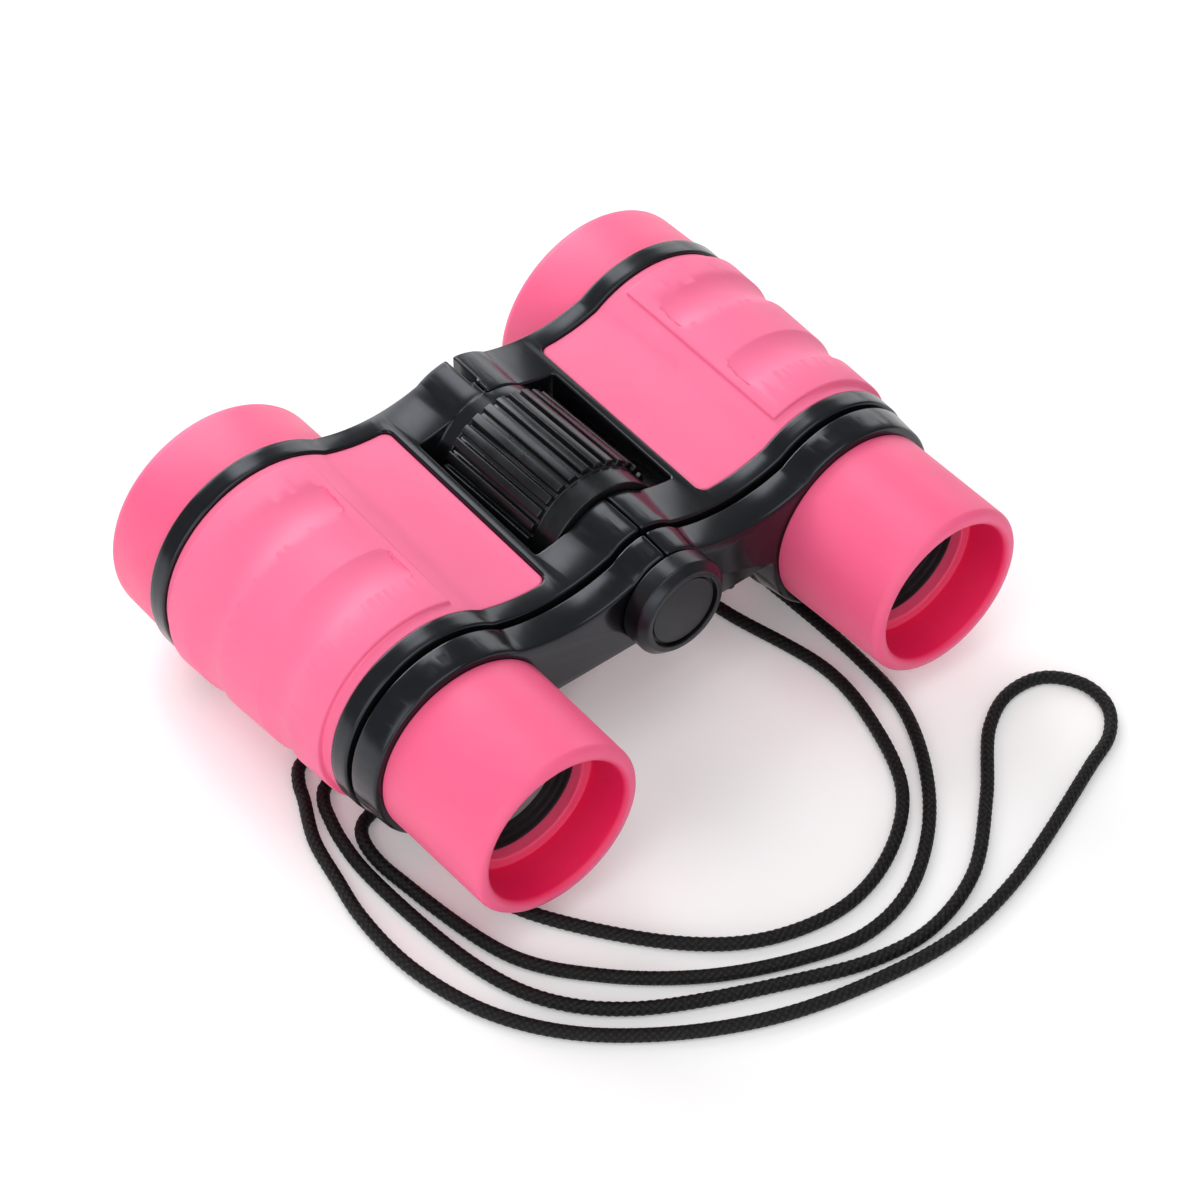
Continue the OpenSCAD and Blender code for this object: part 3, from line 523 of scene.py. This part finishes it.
def braided_black(name):
    """Black braid: filaments along each strand, with a soft sheen; the strand tops are painted
    lighter as a painted highlight and the hollows between them darker as painted shade.
    """
    finish, tree, shader, place = new_finish(name)
    strand = tree.nodes.new("ShaderNodeAttribute")
    strand.attribute_name = "braid"
    filament = tree.nodes.new("ShaderNodeTexWave")
    filament.wave_type = "BANDS"
    filament.bands_direction = "DIAGONAL"
    filament.inputs["Scale"].default_value = 26.0
    filament.inputs["Distortion"].default_value = 1.4
    filament.inputs["Detail"].default_value = 2.0
    tree.links.new(place.outputs["UV"], filament.inputs["Vector"])
    # Painted light: colour by braid height, a painted highlight on the strand tops and painted
    # shade in the hollows between strands.
    tone = spread(tree, strand.outputs["Fac"], 0.0, 1.0, 0.45, 0.95)
    shade = between(tree, tone, (0.0008, 0.0008, 0.001), (0.016, 0.016, 0.018))
    tree.links.new(shade, shader.inputs["Base Color"])
    fuzz = noise(tree, place, 2400.0, 3.0)
    tree.links.new(spread(tree, fuzz, 0.42, 0.62), shader.inputs["Roughness"])
    shader.inputs["Specular IOR Level"].default_value = 0.22
    bump(tree, shader, [
        (strand.outputs["Fac"], 0.8, 0.12 * MM),
        (filament.outputs["Fac"], 0.3, 0.03 * MM),
    ])
    set_sockets(shader, sheen_weight=0.01, sheen_roughness=0.4)
    return finish


GRIP_PINK = soft_pink(
    "grip_pink", light=(0.96, 0.172, 0.335), deep=(0.94, 0.154, 0.312), rough=0.55, grain=0.25
)
CUP_PINK = soft_pink(
    "cup_pink", light=(0.96, 0.128, 0.280), deep=(0.94, 0.114, 0.260), rough=0.48, grain=0.14
)
FRAME_BLACK = gloss_black("frame_black", tone=0.0045, rough=0.22, ripple=0.10)
ARM_BLACK = gloss_black("arm_black", tone=0.0045, rough=0.20, ripple=0.10)
WHEEL_BLACK = matte_black("wheel_black", tone=0.005, rough=0.28, grain=0.10)
CAP_BLACK = gloss_black("cap_black", tone=0.005, rough=0.30, ripple=0.06)
INLAY_BLACK = matte_black("inlay_black", tone=0.013, rough=0.45, grain=0.25)
TRIM_BLACK = matte_black("trim_black", tone=0.006, rough=0.42, grain=0.2)
PIN_STEEL = turned_metal("pin_steel", colour=(0.62, 0.62, 0.64), rough=0.3)
NUT_BRASS = turned_metal("nut_brass", colour=(0.80, 0.58, 0.25), rough=0.3)
FRONT_GLASS = coated_glass("front_glass", tint=(0.90, 0.93, 0.95), clear=1.0)
EYE_GLASS = coated_glass("eye_glass", tint=(0.55, 0.57, 0.60), clear=0.35)
CORD_BLACK = braided_black("cord_black")


# Neck cord and its knots

def cord_line():
    """Middle line of the cord from one knot to the other, as a smooth curve."""
    ends = {}
    for side in SIDES:
        low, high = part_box(side + "_strap_knot")
        middle_x = (low[0] + high[0]) / 2
        middle_z = (low[2] + high[2]) / 2
        ends[side] = [
            Vector((middle_x, high[1], middle_z)),
            Vector((middle_x, high[1] + LUG_DEPTH, middle_z)),
        ]
    free = [Vector((x * MM, y * MM, CORD_R + rise * MM)) for x, y, rise in CORD_ROUTE]
    points = ends["left"] + free + ends["right"][::-1]
    line = [points[0]]
    for i in range(len(points) - 1):
        p1, p2 = points[i], points[i + 1]
        p0 = points[i - 1] if i > 0 else p1 * 2 - p2
        p3 = points[i + 2] if i + 2 < len(points) else p2 * 2 - p1
        line.extend(curve_between(p0, p1, p2, p3))
    for point in line:
        point.z = max(point.z, CORD_R)
    return evenly(line, CORD_STEP)


def curve_between(p0, p1, p2, p3, steps=24):
    """Points of a centripetal curve from p1 to p2."""
    t0 = 0.0
    t1 = t0 + math.sqrt((p1 - p0).length)
    t2 = t1 + math.sqrt((p2 - p1).length)
    t3 = t2 + math.sqrt((p3 - p2).length)
    points = []
    for step in range(1, steps + 1):
        t = t1 + (t2 - t1) * step / steps
        a1 = p0 * ((t1 - t) / (t1 - t0)) + p1 * ((t - t0) / (t1 - t0))
        a2 = p1 * ((t2 - t) / (t2 - t1)) + p2 * ((t - t1) / (t2 - t1))
        a3 = p2 * ((t3 - t) / (t3 - t2)) + p3 * ((t - t2) / (t3 - t2))
        b1 = a1 * ((t2 - t) / (t2 - t0)) + a2 * ((t - t0) / (t2 - t0))
        b2 = a2 * ((t3 - t) / (t3 - t1)) + a3 * ((t - t1) / (t3 - t1))
        points.append(b1 * ((t2 - t) / (t2 - t1)) + b2 * ((t - t1) / (t2 - t1)))
    return points


def evenly(line, step):
    """The same line with points a step apart."""
    total = sum((b - a).length for a, b in zip(line, line[1:]))
    count = max(2, round(total / step))
    wanted = total / count
    points = [line[0].copy()]
    walked = 0.0
    for a, b in zip(line, line[1:]):
        length = (b - a).length
        while length > 0 and walked + length >= wanted * len(points) and len(points) < count:
            points.append(a.lerp(b, (wanted * len(points) - walked) / length))
        walked += length
    points.append(line[-1].copy())
    return points


def braid_height(around, along):
    """Height of the braid from 0 to 1: two families of strands that cross over and under."""
    first = (around + along) * BRAID_STRANDS
    second = (around - along) * BRAID_STRANDS
    first_on_top = (math.floor(first) + math.floor(second)) % 2 == 0
    across = (first if first_on_top else second) % 1.0
    lengthwise = (second if first_on_top else first) % 1.0
    crown = math.sin(math.pi * across) ** STRAND_FLATNESS
    return crown * (STRAND_LOW + STRAND_RISE * math.sin(math.pi * lengthwise))


def braided_tube(name, line, radius, sides, pitch, relief, closed=False):
    """Tube along a line with the braid raised on it, its UV map and its braid height."""
    count = len(line)
    rows = []
    side = None
    walked = 0.0
    for i, point in enumerate(line):
        if closed:
            way = (line[(i + 1) % count] - line[i - 1]).normalized()
        else:
            way = (line[min(i + 1, count - 1)] - line[max(i - 1, 0)]).normalized()
        if side is None:
            side = way.cross(Vector((0, 0, 1)))
        side = (side - way * side.dot(way)).normalized()
        top = side.cross(way)
        if i > 0:
            walked += (point - line[i - 1]).length
        rows.append((point, side.copy(), top, walked))
    points, heights = [], []
    for point, across, up, walked in rows:
        for j in range(sides):
            turn = math.tau * j / sides
            height = braid_height(j / sides, walked / pitch)
            reach = radius - relief * (1 - height)
            points.append(point + (across * math.cos(turn) + up * math.sin(turn)) * reach)
            heights.append(height)
    faces, marks = [], []
    last_row = count if closed else count - 1
    for i in range(last_row):
        for j in range(sides):
            k = (j + 1) % sides
            n = (i + 1) % count
            faces.append((i * sides + j, i * sides + k, n * sides + k, n * sides + j))
            a = rows[i][3] / pitch
            b = rows[i + 1][3] / pitch if i + 1 < count else a
            u, v = j / sides, (j + 1) / sides
            marks.append(((u, a), (v, a), (v, b), (u, b)))
    if not closed:
        faces.append(tuple(range(sides - 1, -1, -1)))
        faces.append(tuple(range((count - 1) * sides, count * sides)))
        marks.append(((0.5, 0.5),) * sides)
        marks.append(((0.5, 0.5),) * sides)
    mesh = bpy.data.meshes.new(name)
    mesh.from_pydata(points, [], faces)
    layer = mesh.uv_layers.new(name="along_cord")
    corners = [mark for face in marks for mark in face]
    for loop, mark in zip(layer.data, corners):
        loop.uv = mark
    attribute = mesh.attributes.new("braid", "FLOAT", "POINT")
    attribute.data.foreach_set("value", heights)
    mesh.update()
    piece = bpy.data.objects.new(name, mesh)
    bpy.context.collection.objects.link(piece)
    open_mesh(piece)
    bpy.ops.mesh.normals_make_consistent(inside=False)
    close_mesh()
    bpy.ops.object.shade_smooth()
    return piece


def strap_knot(side):
    """Overhand knot: the cord's own tube, pulled tight into a ball."""
    low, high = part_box(side + "_strap_knot")
    middle = Vector(((low[0] + high[0]) / 2, 0, (low[2] + high[2]) / 2))
    ball_r = (high[0] - low[0]) / 2
    middle.y = low[1] + ball_r
    strand_r = KNOT_STRAND_SHARE * ball_r
    loop_r = (ball_r - strand_r) / 3
    line = []
    for i in range(KNOT_POINTS):
        t = math.tau * i / KNOT_POINTS
        flat_x = math.sin(t) + 2 * math.sin(2 * t)
        flat_z = math.cos(t) - 2 * math.cos(2 * t)
        depth = -math.sin(3 * t) * KNOT_DEPTH
        line.append(middle + Vector((flat_x, depth, flat_z)) * loop_r)
    return braided_tube(
        side + "_knot", line, strand_r, KNOT_SIDES, KNOT_PITCH, KNOT_RELIEF, closed=True
    )


knots = {}
for side in SIDES:
    knots[side] = strap_knot(side)
    dress(knots[side], side + "_strap_knot", side + "_half", CORD_BLACK)

neck_line = cord_line()
neck_cord = braided_tube("neck_cord", neck_line, CORD_R, CORD_SIDES, BRAID_PITCH, BRAID_RELIEF)
neck_cord.data.materials.append(CORD_BLACK)
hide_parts("strap_cord")
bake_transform(neck_cord)


# Frames, arms and grips

for side in SIDES:
    half = side + "_half"
    carriage = side + "_carriage"
    frame_shell = moulded_copy(side + "_frame", side + "_frame_shell", FRAME_EDGE)
    dress(frame_shell, side + "_frame", half, FRAME_BLACK)
    eye_arm = moulded_copy(side + "_arm", side + "_eye_arm", ARM_EDGE)
    dress(eye_arm, side + "_arm", carriage, ARM_BLACK)
    grip_panel = moulded_copy(
        side + "_grip", side + "_grip_panel", GRIP_EDGE, GRIP_SEGMENTS, RIDGE_ANGLE
    )
    dress(grip_panel, side + "_grip", half, GRIP_PINK)


# Hoods, objective lenses and their rings

def objective_hood(side):
    """Hood with its spigot in the frame, a rounded mouth and a pocket for the ring and lens."""
    hood = turning(side + "_objective_hood")
    lens = turning(side + "_objective_lens")
    ring = turning(side + "_objective_ring")
    body_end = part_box(side + "_frame")[1][1]
    spigot_r = hood["r"] - SPIGOT_STEP
    bore_r = spigot_r - SPIGOT_WALL
    mouth_r = hood["r"] - HOOD_WALL
    pocket_r = ring["r"] + SEAT_GAP
    outline = rounded_outline([
        (bore_r, hood["near"], FINE_ROUND), (spigot_r, hood["near"], FINE_ROUND),
        (spigot_r, body_end, 0), (hood["r"], body_end, EDGE_ROUND),
        (hood["r"], hood["far"], HOOD_ROUND), (mouth_r, hood["far"], MOUTH_ROUND),
        (mouth_r, ring["far"], FINE_ROUND), (pocket_r, ring["far"], 0),
        (pocket_r, lens["near"], 0), (bore_r, lens["near"], 0),
    ])
    return turned_piece(side + "_hood", outline, hood["x"], hood["z"])


def dome(edge_r, edge_y, dome_r, way, steps=16):
    """Points of a domed face from its edge to its middle, bulging the given way along Y."""
    depth = math.sqrt(dome_r * dome_r - edge_r * edge_r)
    points = []
    for step in range(steps + 1):
        r = edge_r * (1 - step / steps)
        points.append(Vector((r, edge_y + way * (math.sqrt(dome_r * dome_r - r * r) - depth))))
    return points


def objective_lens(side):
    """Front lens, flat behind and domed towards the mouth."""
    lens = turning(side + "_objective_lens")
    ring = turning(side + "_objective_ring")
    dome_edge = ring["r"] - RING_LIP
    back = [(0, lens["near"]), (lens["r"], lens["near"]), (lens["r"], ring["near"])]
    outline = [Vector(corner) for corner in back]
    outline += dome(dome_edge, ring["near"], OBJECTIVE_DOME, 1)
    return turned_piece(side + "_front_lens", outline, lens["x"], lens["z"])


def holding_ring(node, name, lip, way):
    """Ring that holds a lens, with two fine steps towards the open end."""
    ring = turning(node)
    bore_r = ring["r"] - lip
    open_y, lens_y = (ring["far"], ring["near"]) if way > 0 else (ring["near"], ring["far"])
    third = (lens_y - open_y) / 3
    step = lip / 4
    outline = rounded_outline([
        (bore_r, lens_y, 0), (ring["r"], lens_y, 0), (ring["r"], open_y, RING_ROUND),
        (bore_r + 2 * step, open_y, RING_MOUTH_ROUND),
        (bore_r + 2 * step, open_y + third, RING_STEP_ROUND),
        (bore_r + step, open_y + third, RING_STEP_ROUND),
        (bore_r + step, open_y + 2 * third, RING_STEP_ROUND),
        (bore_r, open_y + 2 * third, RING_STEP_ROUND),
    ], steps=3)
    return turned_piece(name, outline, ring["x"], ring["z"])


for side in SIDES:
    half = side + "_half"
    dress(objective_hood(side), side + "_objective_hood", half, CUP_PINK)
    dress(objective_lens(side), side + "_objective_lens", half, FRONT_GLASS)
    front_ring = holding_ring(side + "_objective_ring", side + "_front_ring", RING_LIP, 1)
    dress(front_ring, side + "_objective_ring", half, TRIM_BLACK)


# Eyecups, eye lenses and their rings

def eyecup(side):
    """Eyecup that tapers to a rounded rim, with a ledge inside and a sleeve on the draw tube."""
    cup = turning(side + "_eyecup")
    tube = turning(side + "_draw_tube")
    sleeve_r = tube["r"] + SEAT_GAP
    rim_r = cup["r"] - CUP_TAPER
    bore_r = rim_r - RIM_WALL
    shoulder_r = bore_r - SHOULDER_STEP
    bore_end = cup["near"] + CUP_DEPTH
    outline = rounded_outline([
        (bore_r, cup["near"], RIM_INNER_ROUND), (rim_r, cup["near"], RIM_ROUND),
        (cup["r"], cup["far"], EDGE_ROUND), (sleeve_r, cup["far"], 0), (sleeve_r, tube["near"], 0),
        (shoulder_r, tube["near"], 0), (shoulder_r, bore_end, EDGE_ROUND),
        (bore_r, bore_end, LEDGE_ROUND),
    ])
    piece = turned_piece(side + "_cup", outline, cup["x"], cup["z"])
    # Painted shade: the bore is marked for its deep crimson painted shade.
    paint_bore_shade(piece, cup, bore_r, bore_end)
    return piece


def paint_bore_shade(piece, cup, bore_r, bore_end):
    """Marks how deep inside the cup each point lies, as the mask of the painted shade in the bore,
    with a lighter share of it on the ledge.
    """
    shade_depths = []
    for point in piece.data.vertices:
        r = math.hypot(point.co.x - cup["x"], point.co.z - cup["z"])
        depth = 0.0
        if r < bore_r + RIM_INNER_ROUND and point.co.y < bore_end + SHOULDER_STEP:
            depth = min(1.0, max(0.0, (bore_r + RIM_INNER_ROUND - r) / RIM_INNER_ROUND))
            if r < bore_r - LEDGE_CLEAR:
                depth = LEDGE_SHADE_SHARE
        shade_depths.append(depth)
    piece.data.attributes.new("inside", "FLOAT", "POINT").data.foreach_set("value", shade_depths)


def eye_lens(side):
    """Eye lens, flat in front and domed towards the eye."""
    lens = turning(side + "_eye_lens")
    ring = turning(side + "_eye_ring")
    dome_edge = ring["r"] - EYE_LIP
    back = [(0, lens["far"]), (lens["r"], lens["far"]), (lens["r"], ring["far"])]
    outline = [Vector(corner) for corner in back]
    outline += dome(dome_edge, ring["far"], EYE_DOME, -1)
    return turned_piece(side + "_rear_lens", outline, lens["x"], lens["z"])


for side in SIDES:
    carriage = side + "_carriage"
    dress(eyecup(side), side + "_eyecup", carriage, CUP_PINK)
    dress(eye_lens(side), side + "_eye_lens", carriage, EYE_GLASS)
    rear_ring = holding_ring(side + "_eye_ring", side + "_rear_ring", EYE_LIP, -1)
    dress(rear_ring, side + "_eye_ring", carriage, TRIM_BLACK)


# Focus wheel, hinge cap and its disc

wheel = moulded_copy("focus_wheel", "ribbed_wheel", WHEEL_EDGE)
dress(wheel, "focus_wheel", "focus_wheel", WHEEL_BLACK)


def hinge_button():
    """Round cap on the spindle, with a wide bevel and a recess for its disc."""
    cap = turning("hinge_cap")
    inlay = turning("cap_inlay")
    pin_r = turning("focus_spindle")["r"] + SEAT_GAP
    recess_r = inlay["r"] + SEAT_GAP
    socket_y = cap["far"] - CAP_SOCKET
    outline = rounded_outline([
        (0, socket_y, 0), (pin_r, socket_y, 0), (pin_r, cap["far"], 0),
        (cap["r"], cap["far"], CAP_FOOT_ROUND), (cap["r"], cap["near"] + CAP_CHAMFER, CAP_ROUND),
        (cap["r"] - CAP_CHAMFER, cap["near"], CAP_ROUND), (recess_r, cap["near"], GROOVE_ROUND),
        (recess_r, inlay["far"], 0), (0, inlay["far"], 0),
    ])
    return turned_piece("hinge_button", outline, cap["x"], cap["z"])


def button_disc():
    """Disc in the cap, with a narrow groove round it."""
    disc = turning("cap_inlay")
    groove_y = disc["far"] - DISC_FOOT
    outline = rounded_outline([
        (0, disc["far"], 0), (disc["r"], disc["far"], 0), (disc["r"], groove_y, 0),
        (disc["r"] - DISC_GROOVE, groove_y, 0),
        (disc["r"] - DISC_GROOVE, disc["near"], GROOVE_ROUND), (0, disc["near"], 0),
    ])
    return turned_piece("button_disc", outline, disc["x"], disc["z"])


dress(hinge_button(), "hinge_cap", "left_carriage", CAP_BLACK)
dress(button_disc(), "cap_inlay", "left_carriage", INLAY_BLACK)


# Inner parts that keep their CAD shape

KEPT = {
    "left_draw_tube": TRIM_BLACK,
    "right_draw_tube": TRIM_BLACK,
    "focus_nut": NUT_BRASS,
    "focus_spindle": PIN_STEEL,
    "pivot_tube": PIN_STEEL,
    "hinge_pin": PIN_STEEL,
}
for node, finish in KEPT.items():
    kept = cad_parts[node]
    kept.data.materials.clear()
    kept.data.materials.append(finish)


# Floor, world and lamps

def white_floor():
    """Pale sheet under the toy: white to the camera, and it keeps the shadow."""
    bpy.ops.object.select_all(action="DESELECT")
    bpy.ops.mesh.primitive_plane_add(size=FLOOR_SIZE, location=(0, 0, 0))
    floor = bpy.context.object
    floor.name = "studio_floor"
    paper, tree, shader, place = new_finish("studio_paper")
    cloud = spread(tree, noise(tree, place, 6.0, 2.0), 0.0, 1.0)
    sheet = between(tree, cloud, (0.92, 0.92, 0.92), (0.93, 0.93, 0.93))
    tree.links.new(sheet, shader.inputs["Base Color"])
    set_sockets(shader, roughness=0.9)
    seen = tree.nodes.new("ShaderNodeLightPath")
    direct = tree.nodes.new("ShaderNodeMath")
    direct.operation = "ADD"
    direct.use_clamp = True
    tree.links.new(seen.outputs["Is Camera Ray"], direct.inputs[0])
    tree.links.new(seen.outputs["Is Glossy Ray"], direct.inputs[1])
    glow = tree.nodes.new("ShaderNodeMath")
    glow.operation = "MULTIPLY"
    glow.inputs[1].default_value = FLOOR_GLOW
    tree.links.new(direct.outputs[0], glow.inputs[0])
    tree.links.new(glow.outputs[0], shader.inputs["Emission Strength"])
    shader.inputs["Emission Color"].default_value = (1, 1, 1, 1)
    floor.data.materials.append(paper)


def soft_lamp(name, place, size, power):
    """Soft lamp turned to the toy."""
    lamp_data = bpy.data.lights.new(name, "AREA")
    lamp_data.shape = "RECTANGLE"
    lamp_data.size, lamp_data.size_y = size
    lamp_data.energy = power
    lamp = bpy.data.objects.new(name, lamp_data)
    lamp.location = place
    lamp.rotation_euler = (LAMP_AIM - Vector(place)).to_track_quat("-Z", "Y").to_euler()
    bpy.context.collection.objects.link(lamp)


def studio_world():
    """Even grey-white surround that lights the shadows, white where it is seen."""
    world = bpy.data.worlds.new("studio_world")
    bpy.context.scene.world = world
    world.use_nodes = True
    tree = world.node_tree
    ground = tree.nodes["Background"]
    ground.inputs["Color"].default_value = (1, 1, 1, 1)
    seen = tree.nodes.new("ShaderNodeLightPath")
    level = tree.nodes.new("ShaderNodeMapRange")
    level.inputs["To Min"].default_value = WORLD_LEVEL
    level.inputs["To Max"].default_value = 1.0
    tree.links.new(seen.outputs["Is Camera Ray"], level.inputs["Value"])
    tree.links.new(level.outputs["Result"], ground.inputs["Strength"])


white_floor()
studio_world()
for lamp_name, (lamp_place, lamp_size, lamp_power) in LAMPS.items():
    soft_lamp(lamp_name, lamp_place, lamp_size, lamp_power)
bpy.context.scene.view_settings.view_transform = "Standard"
